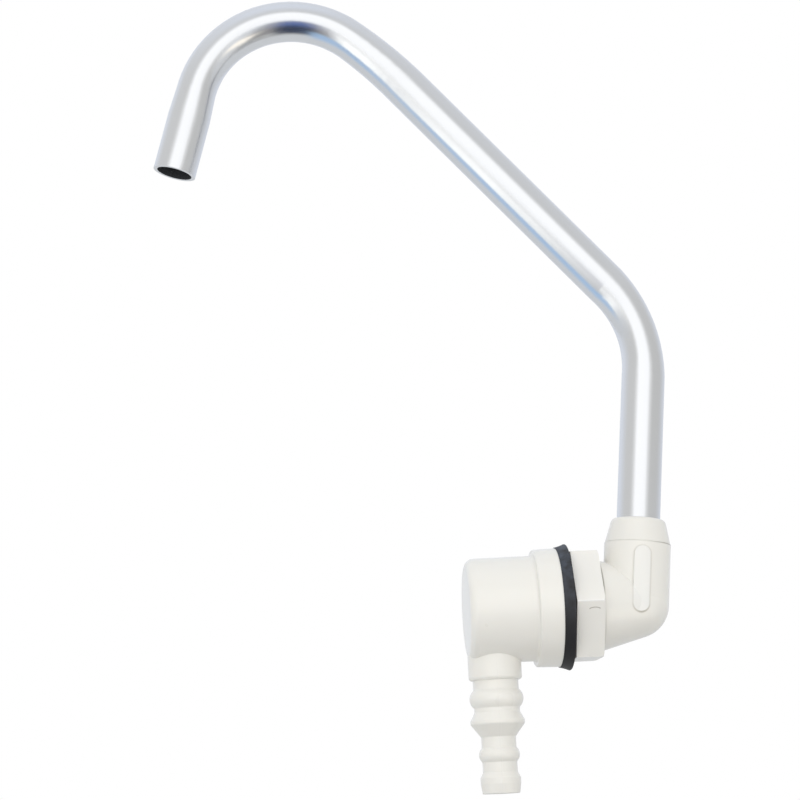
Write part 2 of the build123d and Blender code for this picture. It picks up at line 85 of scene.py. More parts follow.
def add_node(
    tree: Tree, kind: str, inputs: dict[str | int, Any] | None = None, **settings: Any
) -> Node:
    """Add a node to a tree, set it up and link its inputs.

    Args:
        tree: The tree of a material or a world.
        kind: Blender's name for the kind of node.
        inputs: What each input takes, by the input's name or number: a value, the socket that
            feeds it, or the node whose first output in use feeds it.
        settings: The node's properties, by name.

    Returns:
        The new node.
    """
    node = tree.nodes.new(kind)
    for name, value in settings.items():
        setattr(node, name, value)
    for name, value in (inputs or {}).items():
        if isinstance(value, Node):
            value = next(output for output in value.outputs if output.enabled)
        if isinstance(value, Socket):
            tree.links.new(value, node.inputs[name])
        else:
            node.inputs[name].default_value = value
    return node


def fresh_material(name: str) -> tuple[bpy.types.Material, Tree]:
    """Make a material with an empty node tree.

    Args:
        name: The finish's own name.

    Returns:
        The material and its tree.
    """
    material = bpy.data.materials.new(name)
    material.use_nodes = True
    material.node_tree.nodes.clear()
    return material, material.node_tree


def add_surface(tree: Tree, inputs: dict[str | int, Any]) -> None:
    """Add the shader of an opaque surface to a material, and its output.

    Args:
        tree: The tree of the material.
        inputs: What the shader's inputs take, by name.
    """
    shader = add_node(tree, "ShaderNodeBsdfPrincipled", inputs)
    add_node(tree, "ShaderNodeOutputMaterial", {"Surface": shader})


def add_relief(
    tree: Tree,
    place: Node | Socket,
    size_mm: float,
    strength: float,
    depth_mm: float,
    layers: float = 2.0,
) -> Node:
    """Give a surface a fine grain.

    Args:
        tree: The tree of the material.
        place: Where a point of the piece lies.
        size_mm: Size of the grain.
        strength: How much of it shows.
        depth_mm: Its depth.
        layers: How many finer layers it has.

    Returns:
        The node that gives the normal.
    """
    scale = 1 / (size_mm * MM)
    grain = add_node(
        tree, "ShaderNodeTexNoise", {"Vector": place, "Scale": scale, "Detail": layers}
    )
    return add_node(
        tree, "ShaderNodeBump", {"Height": grain, "Strength": strength, "Distance": depth_mm * MM}
    )


def soft_line(tree: Tree, measure: Node | Socket, middle_mm: float, reach_mm: float) -> Node:
    """Find a line with soft sides, where a measure has one value.

    Args:
        tree: The tree of the material.
        measure: The measure.
        middle_mm: Its value in the middle of the line.
        reach_mm: Half the width of the line.

    Returns:
        The node that gives 1 in the middle of the line and 0 beside it.
    """
    off = add_node(tree, "ShaderNodeMath", {0: measure, 1: middle_mm * MM}, operation="SUBTRACT")
    apart = add_node(tree, "ShaderNodeMath", {0: off}, operation="ABSOLUTE")
    return add_node(
        tree,
        "ShaderNodeMapRange",
        {
            "Value": apart,
            "From Min": 0.0,
            "From Max": reach_mm * MM,
            "To Min": 1.0,
            "To Max": 0.0,
        },
        interpolation_type="SMOOTHSTEP",
    )


def paint_over(tree: Tree, under: Node | Colour, over_hex: str, *masks: Node) -> Node:
    """Paint a colour over another where all masks agree.

    Args:
        tree: The tree of the material.
        under: The colour under it, or the node that gives it.
        over_hex: The colour to paint.
        masks: Nodes that give 1 where it covers in full, and 0 where it is left out.

    Returns:
        The node that gives the colour.
    """
    mask = masks[0]
    for other in masks[1:]:
        mask = add_node(tree, "ShaderNodeMath", {0: mask, 1: other}, operation="MULTIPLY")
    colours = {"Factor": mask, MIX_A: under, MIX_B: srgb(over_hex)}
    return add_node(tree, "ShaderNodeMix", colours, data_type="RGBA")


# Acetal, injection-moulded in a polished tool: an even ivory that a little light sinks into,
# with broad soft highlights that waver a little, as on orange peel.
@dataclass(frozen=True)
class MouldedPlastic:
    """Injection-moulded acetal.

    Attributes:
        name: Name of the material.
        body_hex: Main colour.
        cloud_hex: Colour that the slow clouding of the melt leans to.
        cloud_mm: Size of that clouding.
        peel_mm: Size of the orange peel of the mould.
        peel_depth_mm: Its depth.
        peel_strength: How much of it shows.
        roughness_low: Roughness of the best-polished places.
        roughness_high: Roughness of the dullest places.
        ior: Refractive index of the plastic, and of the dense skin that the mould leaves on it.
        skin: How much of that skin shows.
        skin_roughness: Its roughness.
        glow: Share of the light that spreads inside the plastic.
        glow_mm: How far it spreads.
        glow_reach: How far red, green and blue go, as shares of that.
    """

    name: str
    body_hex: str = "F4F2EC"
    cloud_hex: str = "F1EFE9"
    cloud_mm: float = 12.0
    peel_mm: float = 0.9
    peel_depth_mm: float = 0.05
    peel_strength: float = 0.05
    roughness_low: float = 0.27
    roughness_high: float = 0.33
    ior: float = 1.48
    skin: float = 0.4
    skin_roughness: float = 0.12
    glow: float = 0.06
    glow_mm: float = 0.9
    glow_reach: Triple = (1.0, 0.85, 0.65)

    def build(self) -> bpy.types.Material:
        """Build the material, with whatever marks, painted shade or highlights this piece adds.

        Returns:
            The material.
        """
        material, tree = fresh_material(self.name)
        place = add_node(tree, "ShaderNodeTexCoord").outputs["Object"]
        scale = 1 / (self.cloud_mm * MM)
        clouds = add_node(
            tree, "ShaderNodeTexNoise", {"Vector": place, "Scale": scale, "Detail": 1.0}
        )
        colour = paint_over(tree, srgb(self.body_hex), self.cloud_hex, clouds)
        gloss = add_node(
            tree,
            "ShaderNodeMapRange",
            {
                "Value": clouds,
                "From Min": NOISE_LOW,
                "From Max": NOISE_HIGH,
                "To Min": self.roughness_low,
                "To Max": self.roughness_high,
            },
        )
        peel = add_relief(tree, place, self.peel_mm, self.peel_strength, self.peel_depth_mm)
        add_surface(
            tree,
            {
                "Base Color": self.paint(tree, place, colour),
                "Roughness": gloss,
                "Normal": self.emboss(tree, place, peel),
                "IOR": self.ior,
                "Coat Weight": self.skin,
                "Coat Roughness": self.skin_roughness,
                "Coat IOR": self.ior,
                "Subsurface Weight": self.glow,
                "Subsurface Radius": self.glow_reach,
                "Subsurface Scale": self.glow_mm * MM,
            },
        )
        return material

    def paint(self, tree: Tree, place: Socket, colour: Node) -> Node:
        """Leave the plain colour as it is."""
        return colour

    def emboss(self, tree: Tree, place: Socket, normal: Node) -> Node:
        """Leave the plain surface as it is."""
        return normal


# The same acetal on the elbow: its pad is painted a lighter ivory, and painted grey shade in
# the corners round the pad, under the collar and at the nut draws their outlines.
@dataclass(frozen=True)
class PadPlastic(MouldedPlastic):
    """The elbow's acetal, with its pad, and the painted shade in its corners.

    Attributes:
        leg_x_mm: Where the leg's axis meets the nose's axis.
        lean_degrees: Lean of the leg.
        pad_foot_mm: Lower end of the pad, along the leg.
        pad_top_mm: Its upper end.
        pad_width_mm: Its width.
        pad_rim_mm: How far the pad's colour fades inside its outline, and outside it.
        pad_hex: Its colour.
        pad_shade_hex: Colour of the painted shade in the corner round it.
        pad_shade_out_mm: How far outside the outline the painted shade is darkest.
        pad_shade_reach_mm: How far from there it ends.
        pad_shade_amounts: How dark the painted shade is under the pad's foot, and higher up.
        seam_mm: Height of the leg's top, along the leg, where the collar sits on it.
        seam_line_mm: Width of the line of painted shade there.
        seam_span_mm: Where the line starts to darken, away from the housing, and where it has.
        seam_least: How dark it is on the side of the housing, as a share.
        painted_shade_hex: Colour of the painted shade there and at the nut.
        root_x_mm: Front face of the lock nut, where the elbow comes out of it.
        root_line_mm: Width of the line of painted shadow there.
        root_foot_mm: Height under which the line has faded.
        root_fade_mm: Height over which it fades.
    """

    leg_x_mm: float = 21.84
    lean_degrees: float = 5.74
    pad_foot_mm: float = -2.82
    pad_top_mm: float = 15.18
    pad_width_mm: float = 4.6
    pad_rim_mm: Pair = (0.1, 0.2)
    pad_hex: str = "F3F2EE"
    pad_shade_hex: str = "C6C1B7"
    pad_shade_out_mm: float = 0.12
    pad_shade_reach_mm: float = 0.4
    pad_shade_amounts: Pair = (0.95, 0.32)
    seam_mm: float = 16.6
    seam_line_mm: float = 0.3
    seam_span_mm: Pair = (1.0, 8.0)
    seam_least: float = 0.2
    painted_shade_hex: str = "8F877C"
    root_x_mm: float = 11.05
    root_line_mm: float = 0.86
    root_foot_mm: float = -1.0
    root_fade_mm: float = 5.0

    def paint(self, tree: Tree, place: Socket, colour: Node) -> Node:
        """Paint the pad lighter, and paint shade in the elbow's corners.

        Args:
            tree: The tree of the material.
            place: Where a point of the piece lies.
            colour: The plain colour.

        Returns:
            The colour with these marks.
        """
        centred = add_node(
            tree,
            "ShaderNodeVectorMath",
            {0: place, 1: (self.leg_x_mm * MM, 0.0, 0.0)},
            operation="SUBTRACT",
        )
        upright = add_node(
            tree,
            "ShaderNodeVectorRotate",
            {"Vector": centred, "Angle": math.radians(-self.lean_degrees)},
            rotation_type="Y_AXIS",
        )
        parts = add_node(tree, "ShaderNodeSeparateXYZ", {"Vector": upright})
        brightened = self.paint_pad(tree, upright, parts, colour)
        seamed = self.shade_seam(tree, parts, brightened)
        return self.shade_root(tree, place, seamed)

    def paint_pad(self, tree: Tree, upright: Node, parts: Node, colour: Node) -> Node:
        """Paint what lies inside the pad's outline lighter, and paint shade in the corner round
        it.

        Args:
            tree: The tree of the material.
            upright: Where a point lies, from the leg's foot and along its axis.
            parts: The same as three numbers.
            colour: The colour so far.

        Returns:
            The colour with the pad and its painted shade.
        """
        end_radius = self.pad_width_mm / 2
        spine = add_node(
            tree,
            "ShaderNodeClamp",
            {
                "Value": parts.outputs["Z"],
                "Min": (self.pad_foot_mm + end_radius) * MM,
                "Max": (self.pad_top_mm - end_radius) * MM,
            },
        )
        nearest = add_node(tree, "ShaderNodeCombineXYZ", {"Y": parts.outputs["Y"], "Z": spine})
        reach = add_node(
            tree, "ShaderNodeVectorMath", {0: upright, 1: nearest}, operation="DISTANCE"
        )
        inside = add_node(
            tree,
            "ShaderNodeMapRange",
            {
                "Value": reach,
                "From Min": (end_radius - self.pad_rim_mm[0]) * MM,
                "From Max": (end_radius + self.pad_rim_mm[1]) * MM,
                "To Min": 1.0,
                "To Max": 0.0,
            },
            interpolation_type="SMOOTHSTEP",
        )
        near_side = add_node(
            tree, "ShaderNodeMath", {0: parts.outputs["Y"], 1: 0.0}, operation="LESS_THAN"
        )
        painted = paint_over(tree, colour, self.pad_hex, inside, near_side)
        # Painted shade in the corner round the pad's outline.
        corner = soft_line(tree, reach, end_radius + self.pad_shade_out_mm, self.pad_shade_reach_mm)
        # Most of the painted shade lies under the pad's foot, below the ledge.
        low = add_node(
            tree,
            "ShaderNodeMapRange",
            {
                "Value": parts.outputs["Z"],
                "From Min": self.pad_foot_mm * MM,
                "From Max": (self.pad_foot_mm + end_radius) * MM,
                "To Min": self.pad_shade_amounts[0],
                "To Max": self.pad_shade_amounts[1],
            },
        )
        return paint_over(tree, painted, self.pad_shade_hex, corner, low, near_side)

    def shade_seam(self, tree: Tree, parts: Node, colour: Node) -> Node:
        """Paint shade on the line under the collar, darker away from the housing, where the collar
        sits a little open.

        Args:
            tree: The tree of the material.
            parts: Where a point lies, from the leg's foot and along its axis, as three numbers.
            colour: The colour so far.

        Returns:
            The colour with the painted shade line.
        """
        at_seam = add_node(
            tree,
            "ShaderNodeMapRange",
            {
                "Value": parts.outputs["Z"],
                "From Min": (self.seam_mm - self.seam_line_mm) * MM,
                "From Max": self.seam_mm * MM,
            },
        )
        open_side = add_node(
            tree,
            "ShaderNodeMapRange",
            {
                "Value": parts.outputs["X"],
                "From Min": self.seam_span_mm[0] * MM,
                "From Max": self.seam_span_mm[1] * MM,
                "To Min": self.seam_least,
                "To Max": 1.0,
            },
        )
        # Painted shadow of the gap under the collar's foot.
        return paint_over(tree, colour, self.painted_shade_hex, at_seam, open_side)

    def shade_root(self, tree: Tree, place: Socket, colour: Node) -> Node:
        """Paint a shadow line where the elbow comes out of the lock nut.

        Args:
            tree: The tree of the material.
            place: Where a point of the piece lies.
            colour: The colour so far.

        Returns:
            The colour with the line.
        """
        level = add_node(tree, "ShaderNodeSeparateXYZ", {"Vector": place})
        at_root = add_node(
            tree,
            "ShaderNodeMapRange",
            {
                "Value": level.outputs["X"],
                "From Min": (self.root_x_mm + self.root_line_mm / 2) * MM,
                "From Max": (self.root_x_mm + self.root_line_mm) * MM,
                "To Min": 1.0,
                "To Max": 0.0,
            },
        )
        upper = add_node(
            tree,
            "ShaderNodeMapRange",
            {
                "Value": level.outputs["Z"],
                "From Min": self.root_foot_mm * MM,
                "From Max": (self.root_foot_mm + self.root_fade_mm) * MM,
            },
        )
        # Painted shadow of the gap between the nut's face and the elbow.
        return paint_over(tree, colour, self.painted_shade_hex, at_root, upper)


# The same acetal on the valve body: a hair-thin ridge down the tail catches the light where
# the two halves of the mould met.
@dataclass(frozen=True)
class PartedPlastic(MouldedPlastic):
    """The valve body's acetal, with the mould's parting line on its tail.

    Attributes:
        tail_x_mm: Where the tail's axis stands.
        line_mm: Half the width of the line.
        line_height_mm: How far the line stands up.
        line_strength: How much of it shows.
        below_mm: Height under which the line runs.
    """

    tail_x_mm: float = -17.9
    line_mm: float = 0.22
    line_height_mm: float = 0.06
    line_strength: float = 0.5
    below_mm: float = -14.6

    def emboss(self, tree: Tree, place: Socket, normal: Node) -> Node:
        """Run a fine ridge down the front and the back of the tail.

        Args:
            tree: The tree of the material.
            place: Where a point of the piece lies.
            normal: The plain normal.

        Returns:
            The normal with the ridge.
        """
        parts = add_node(tree, "ShaderNodeSeparateXYZ", {"Vector": place})
        ridge = soft_line(tree, parts.outputs["X"], self.tail_x_mm, self.line_mm)
        below = add_node(
            tree,
            "ShaderNodeMath",
            {0: parts.outputs["Z"], 1: self.below_mm * MM},
            operation="LESS_THAN",
        )
        line = add_node(tree, "ShaderNodeMath", {0: ridge, 1: below}, operation="MULTIPLY")
        return add_node(
            tree,
            "ShaderNodeBump",
            {
                "Height": line,
                "Normal": normal,
                "Strength": self.line_strength,
                "Distance": self.line_height_mm * MM,
            },
        )


# The same acetal on the nut: a painted highlight runs along its forward corner, and a
# small grey arc shows where the mould's runner broke off.
@dataclass(frozen=True)
class NutPlastic(MouldedPlastic):
    """The lock nut's acetal, with a painted highlight on its corner and the scar of its runner.

    Attributes:
        corner_highlight_hex: Colour of the painted highlight on the corner that faces forward.
        corner_highlight_mm: Half the width of the painted highlight line.
        scar_centre_mm: Centre of the circle that the scar is an arc of.
        scar_radius_mm: Radius of that circle.
        scar_line_mm: Half the width of the scar's line.
        scar_half_mm: Half the length of the scar along the nut's axis.
        scar_foot_mm: Height at which it ends.
        scar_hex: Its colour.
    """

    corner_highlight_hex: str = "FDFCFA"
    corner_highlight_mm: float = 0.4
    scar_centre_mm: Triple = (8.2, -14.1, -4.3)
    scar_radius_mm: float = 3.0
    scar_line_mm: float = 0.13
    scar_half_mm: float = 1.5
    scar_foot_mm: float = -2.5
    scar_hex: str = "BDB7AE"

    def paint(self, tree: Tree, place: Socket, colour: Node) -> Node:
        """Paint a highlight on the level corner and draw the arc of the scar under it.

        Args:
            tree: The tree of the material.
            place: Where a point of the piece lies.
            colour: The plain colour.

        Returns:
            The colour with these marks.
        """
        parts = add_node(tree, "ShaderNodeSeparateXYZ", {"Vector": place})
        # A painted highlight along the level forward corner.
        corner = soft_line(tree, parts.outputs["Z"], 0.0, self.corner_highlight_mm)
        highlighted = paint_over(tree, colour, self.corner_highlight_hex, corner)
        apart = add_node(
            tree,
            "ShaderNodeVectorMath",
            {0: place, 1: tuple(v * MM for v in self.scar_centre_mm)},
            operation="DISTANCE",
        )
        on_arc = add_node(
            tree,
            "ShaderNodeMath",
            {0: apart, 1: self.scar_radius_mm * MM, 2: self.scar_line_mm * MM},
            operation="COMPARE",
        )
        in_reach = add_node(
            tree,
            "ShaderNodeMath",
            {0: parts.outputs["X"], 1: self.scar_centre_mm[0] * MM, 2: self.scar_half_mm * MM},
            operation="COMPARE",
        )
        above = add_node(
            tree,
            "ShaderNodeMath",
            {0: parts.outputs["Z"], 1: self.scar_foot_mm * MM},
            operation="GREATER_THAN",
        )
        return paint_over(tree, highlighted, self.scar_hex, on_arc, in_reach, above)


# EPDM and nitrile rubber, press-moulded: near black and matt, with a fine grain, and a bluish
# grey bloom in patches, which fades out downwards as painted shade where less light falls.
@dataclass(frozen=True)
class MouldedRubber:
    """Press-moulded rubber of the gasket and the rings.

    Attributes:
        name: Name of the material.
        body_hex: Main colour.
        bloom_and_light_hex: Colour of the bloom, which is also painted light on the upper part.
        bloom_mm: Size of its patches.
        bloom_range: Values of the noise between which it thickens.
        bloom_light_heights_mm: Heights between which the bloom fades in upwards, as painted shade
            below them.
        grain_mm: Size of the grain.
        grain_depth_mm: Its depth.
        grain_strength: How much of it shows.
        roughness: Roughness.
        ior: Refractive index.
    """

    name: str
    body_hex: str = "212123"
    bloom_and_light_hex: str = "4C5462"
    bloom_mm: float = 2.5
    bloom_range: Pair = (0.3, 0.75)
    bloom_light_heights_mm: Pair = (-6.0, 14.0)
    grain_mm: float = 0.35
    grain_depth_mm: float = 0.08
    grain_strength: float = 0.35
    roughness: float = 0.62
    ior: float = 1.52

    def build(self) -> bpy.types.Material:
        """Build the material.

        Returns:
            The material.
        """
        material, tree = fresh_material(self.name)
        place = add_node(tree, "ShaderNodeTexCoord").outputs["Object"]
        bloom = add_node(
            tree,
            "ShaderNodeTexNoise",
            {"Vector": place, "Scale": 1 / (self.bloom_mm * MM), "Detail": 5.0, "Roughness": 0.6},
        )
        patch = add_node(
            tree,
            "ShaderNodeMapRange",
            {"Value": bloom, "From Min": self.bloom_range[0], "From Max": self.bloom_range[1]},
        )
        parts = add_node(tree, "ShaderNodeSeparateXYZ", {"Vector": place})
        lit_above = add_node(
            tree,
            "ShaderNodeMapRange",
            {
                "Value": parts.outputs["Z"],
                "From Min": self.bloom_light_heights_mm[0] * MM,
                "From Max": self.bloom_light_heights_mm[1] * MM,
            },
        )
        # The bloom is painted in patches and fades out downwards, as painted shade where less
        # light falls.
        colour = paint_over(tree, srgb(self.body_hex), self.bloom_and_light_hex, patch, lit_above)
        grain = add_relief(
            tree, place, self.grain_mm, self.grain_strength, self.grain_depth_mm, layers=3.0
        )
        add_surface(
            tree,
            {"Base Color": colour, "Normal": grain, "Roughness": self.roughness, "IOR": self.ior},
        )
        return material


# Aluminium, drawn to a tube, etched and satin anodised: a cool silver that mirrors the studio
# in soft-edged bands along the tube. The bore is painted dull and dark, as painted shade.
@dataclass(frozen=True)
class AnodisedTube:
    """Drawn aluminium tube, satin anodised.

    Attributes:
        name: Name of the material.
        metal_hex: Colour of the metal under its oxide.
        bore_shade_hex: Colour of the painted shade in the unlit bore.
        outlet_mm: Centre of the cut end.
        outlet_axis: Direction of the outlet run.
        outlet_run_mm: Length of the straight run that ends there.
        bore_radius_mm: Radius of the bore.
        bore_play_mm: How far past that radius the painted shade goes, to cover its facets.
        blotch_mm: Size of the slow changes of the satin.
        grain_mm: Size of the etched grain.
        grain_depth_mm: Its depth.
        grain_strength: How much of it shows.
        roughness_low: Roughness of the brightest places.
        roughness_high: Roughness of the dullest places.
    """

    name: str
    metal_hex: str = "DFE1E5"
    bore_shade_hex: str = "383A3D"
    outlet_mm: Triple = (-100.602, 0.0, 126.199)
    outlet_axis: Triple = (-0.277985, 0.0, -0.960585)
    outlet_run_mm: float = 24.0
    bore_radius_mm: float = 4.8
    bore_play_mm: float = 0.15
    blotch_mm: float = 14.0
    grain_mm: float = 0.4
    grain_depth_mm: float = 0.02
    grain_strength: float = 0.04
    roughness_low: float = 0.21
    roughness_high: float = 0.26

    def build(self) -> bpy.types.Material:
        """Build the material.

        Returns:
            The material.
        """
        material, tree = fresh_material(self.name)
        place = add_node(tree, "ShaderNodeTexCoord").outputs["Object"]
        satin = add_node(
            tree,
            "ShaderNodeTexNoise",
            {"Vector": place, "Scale": 1 / (self.blotch_mm * MM), "Detail": 4.0, "Roughness": 0.5},
        )
        gloss = add_node(
            tree,
            "ShaderNodeMapRange",
            {
                "Value": satin,
                "From Min": NOISE_LOW,
                "From Max": NOISE_HIGH,
                "To Min": self.roughness_low,
                "To Max": self.roughness_high,
            },
        )
        # The real grain is finer, and is drawn this coarse so that it shows.
        grain = add_relief(tree, place, self.grain_mm, self.grain_strength, self.grain_depth_mm)
        bore = self.find_bore(tree, place)
        # The bore is painted dark and dull as painted shade inside the tube, and is no longer a
        # mirror.
        metallic = add_node(tree, "ShaderNodeMath", {0: 1.0, 1: bore}, operation="SUBTRACT")
        dulled = add_node(tree, "ShaderNodeMath", {0: gloss, 1: bore}, operation="MAXIMUM")
        add_surface(
            tree,
            {
                "Base Color": paint_over(tree, srgb(self.metal_hex), self.bore_shade_hex, bore),
                "Metallic": metallic,
                "Roughness": dulled,
                "Normal": grain,
            },
        )
        return material

    def find_bore(self, tree: Tree, place: Socket) -> Node:
        """Tell the bore of the outlet run from the rest of the tube.

        Args:
            tree: The tree of the material.
            place: Where a point of the piece lies.

        Returns:
            The node that gives 1 in the bore and 0 elsewhere.
        """
        from_end = add_node(
            tree,
            "ShaderNodeVectorMath",
            {0: place, 1: tuple(v * MM for v in self.outlet_mm)},
            operation="SUBTRACT",
        )
        beside = add_node(
            tree,
            "ShaderNodeVectorMath",
            {0: from_end, 1: self.outlet_axis},
            operation="CROSS_PRODUCT",
        )
        off_axis = add_node(tree, "ShaderNodeVectorMath", {0: beside}, operation="LENGTH")
        inside = add_node(
            tree,
            "ShaderNodeMath",
            {0: off_axis, 1: (self.bore_radius_mm + self.bore_play_mm) * MM},
            operation="LESS_THAN",
        )
        along = add_node(
            tree,
            "ShaderNodeVectorMath",
            {0: from_end, 1: self.outlet_axis},
            operation="DOT_PRODUCT",
        )
        on_run = add_node(
            tree,
            "ShaderNodeMath",
            {0: along, 1: -self.outlet_run_mm * MM},
            operation="GREATER_THAN",
        )
        return add_node(tree, "ShaderNodeMath", {0: inside, 1: on_run}, operation="MULTIPLY")


# Acetal, turned from bar: natural white and matt, with the fine rings of the tool.
@dataclass(frozen=True)
class MachinedAcetal:
    """Turned acetal of the hidden pieces.

    Attributes:
        name: Name of the material.
        body_hex: Colour.
        pitch_mm: Distance between turning marks.
        mark_depth_mm: Their depth.
        mark_strength: How much of them shows.
        roughness: Roughness.
        ior: Refractive index.
    """

    name: str
    body_hex: str = "DEDDD6"
    pitch_mm: float = 0.5
    mark_depth_mm: float = 0.02
    mark_strength: float = 0.2
    roughness: float = 0.45
    ior: float = 1.48

    def build(self) -> bpy.types.Material:
        """Build the material.

        Returns:
            The material.
        """
        material, tree = fresh_material(self.name)
        place = add_node(tree, "ShaderNodeTexCoord")
        marks = add_node(
            tree,
            "ShaderNodeTexWave",
            {
                "Vector": place.outputs["Object"],
                "Scale": WAVE_PERIOD / (self.pitch_mm * MM),
                "Distortion": 0.4,
            },
            bands_direction="X",
        )
        bump = add_node(
            tree,
            "ShaderNodeBump",
            {
                "Height": marks.outputs["Fac"],
                "Strength": self.mark_strength,
                "Distance": self.mark_depth_mm * MM,
            },
        )
        add_surface(
            tree,
            {
                "Base Color": srgb(self.body_hex),
                "Roughness": self.roughness,
                "IOR": self.ior,
                "Normal": bump,
            },
        )
        return material


# Stainless spring steel, ground: a plain grey metal with fine scratches all one way.
@dataclass(frozen=True)
class SpringSteel:
    """Ground stainless spring steel of the clips and the spring washer.

    Attributes:
        name: Name of the material.
        metal_hex: Colour of the metal.
        scratch_mm: Spacing of the grinding scratches.
        scratch_stretch: Share by which the scratches are drawn out along their length.
        scratch_depth_mm: Their depth.
        scratch_strength: How much of them shows.
        roughness: Roughness.
    """

    name: str
    metal_hex: str = "BFC1C4"
    scratch_mm: float = 0.3
    scratch_stretch: float = 0.1
    scratch_depth_mm: float = 0.02
    scratch_strength: float = 0.2
    roughness: float = 0.28

    def build(self) -> bpy.types.Material:
        """Build the material.

        Returns:
            The material.
        """
        material, tree = fresh_material(self.name)
        place = add_node(tree, "ShaderNodeTexCoord")
        stretched = add_node(
            tree,
            "ShaderNodeMapping",
            {"Vector": place.outputs["Object"], "Scale": (1.0, self.scratch_stretch, 1.0)},
        )
        scratches = add_relief(
            tree, stretched, self.scratch_mm, self.scratch_strength, self.scratch_depth_mm
        )
        add_surface(
            tree,
            {
                "Base Color": srgb(self.metal_hex),
                "Metallic": 1.0,
                "Roughness": self.roughness,
                "Normal": scratches,
            },
        )
        return material


Finish = MouldedPlastic | MouldedRubber | AnodisedTube | MachinedAcetal | SpringSteel


def dress(piece: bpy.types.Object, finish: Finish) -> None:
    """Give a piece one finish all over.

    Args:
        piece: A solid of the frame.
        finish: The finish to build for it.
    """
    piece.data.materials.clear()
    piece.data.materials.append(finish.build())
    log.info("%s: %s", piece.name, finish.name)


@dataclass
class HousingGroup:
    """The pieces that stay with the panel.

    Attributes:
        nodes: The frame's solids by name.
    """

    nodes: dict[str, bpy.types.Object]

    def build(self) -> None:
        """Dress the housing, its cap, the gasket, the nut and the port seal."""
        dress(self.nodes["valve_body"], PartedPlastic("acetal_valve_body"))
        dress(self.nodes["rear_cap"], MouldedPlastic("acetal_rear_cap", cloud_mm=6.0))
        dress(self.nodes["lock_nut"], NutPlastic("acetal_lock_nut", body_hex="F6F4EF"))
        dress(self.nodes["bulkhead_gasket"], MouldedRubber("epdm_gasket"))
        dress(self.nodes["cap_o_ring"], MouldedRubber("nitrile_cap_ring", roughness=0.4))
        dress(self.nodes["port_seal"], MouldedRubber("nitrile_port_seal", roughness=0.45))


@dataclass
class ElbowGroup:
    """The elbow, what turns with it in the nose, and the gland of the spout.

    Attributes:
        nodes: The frame's solids by name.
    """

    nodes: dict[str, bpy.types.Object]

    def build(self) -> None:
        """Dress the elbow, its collar and the hidden pieces."""
        dress(self.nodes["elbow"], PadPlastic("acetal_elbow"))
        dress(self.nodes["spout_collar"], MouldedPlastic("acetal_collar", body_hex="EDEBE5"))
        for name in ("spigot_o_ring_front", "spigot_o_ring_rear", "rotor_o_ring"):
            dress(self.nodes[name], MouldedRubber(f"nitrile_{name}", roughness=0.4))
        for name in ("spout_o_ring_lower", "spout_o_ring_upper"):
            dress(self.nodes[name], MouldedRubber(f"nitrile_{name}", roughness=0.38))
        for name in ("thrust_washer", "valve_rotor", "spout_backup_ring"):
            dress(self.nodes[name], MachinedAcetal(f"turned_{name}"))
        for name in ("spigot_circlip", "rotor_spring_washer"):
            dress(self.nodes[name], SpringSteel(f"spring_{name}"))


@dataclass
class SpoutGroup:
    """The bent tube and the clip in its groove.

    Attributes:
        nodes: The frame's solids by name.
    """

    nodes: dict[str, bpy.types.Object]

    def build(self) -> None:
        """Dress the tube and its clip."""
        dress(self.nodes["spout_tube"], AnodisedTube("anodised_spout"))
        dress(self.nodes["spout_clip"], SpringSteel("spring_spout_clip"))


@dataclass(frozen=True)
class Card:
    """A sheet of card just above the studio's floor, which only reflections see.

    Attributes:
        name: Its name.
        centre_mm: Where its middle lies, along X and Y.
        size_mm: Its width and depth.
        near_hex: Colour of its part nearest the tap.
        far_hex: Colour of its part nearest the camera.
        turn_mm: Where it starts to turn from one to the other, and where it has, from its middle.
        swing_degrees: How far it is turned about the vertical.
        glow: How brightly it shines by itself.
    """

    name: str
    centre_mm: Pair
    size_mm: Pair
    near_hex: str
    far_hex: str
    turn_mm: Pair = (200.0, 0.0)
    swing_degrees: float = 0.0
    glow: float = 0.0

    def build(self, height_mm: float) -> None:
        """Lay the card.

        Args:
            height_mm: Height that it lies at.
        """
        centre = (self.centre_mm[0] * MM, self.centre_mm[1] * MM, height_mm * MM)
        bpy.ops.mesh.primitive_plane_add(size=1.0, location=centre)
        card = bpy.context.object
        card.name = self.name
        card.scale = (self.size_mm[0] * MM, self.size_mm[1] * MM, 1.0)
        bpy.ops.object.transform_apply(location=False, rotation=False, scale=True)
        card.rotation_euler.z = math.radians(self.swing_degrees)
        material, tree = fresh_material(self.name)
        place = add_node(tree, "ShaderNodeTexCoord")
        parts = add_node(tree, "ShaderNodeSeparateXYZ", {"Vector": place.outputs["Object"]})
        far = add_node(
            tree,
            "ShaderNodeMapRange",
            {
                "Value": parts.outputs["Y"],
                "From Min": self.turn_mm[0] * MM,
                "From Max": self.turn_mm[1] * MM,
            },
        )
        shade = paint_over(tree, srgb(self.near_hex), self.far_hex, far)
        add_surface(
            tree,
            {
                "Base Color": shade,
                "Roughness": PAPER_ROUGHNESS,
                "Emission Color": shade,
                "Emission Strength": self.glow,
            },
        )
        card.data.materials.append(material)
        card.visible_camera = False
        card.visible_diffuse = False
        card.visible_shadow = False


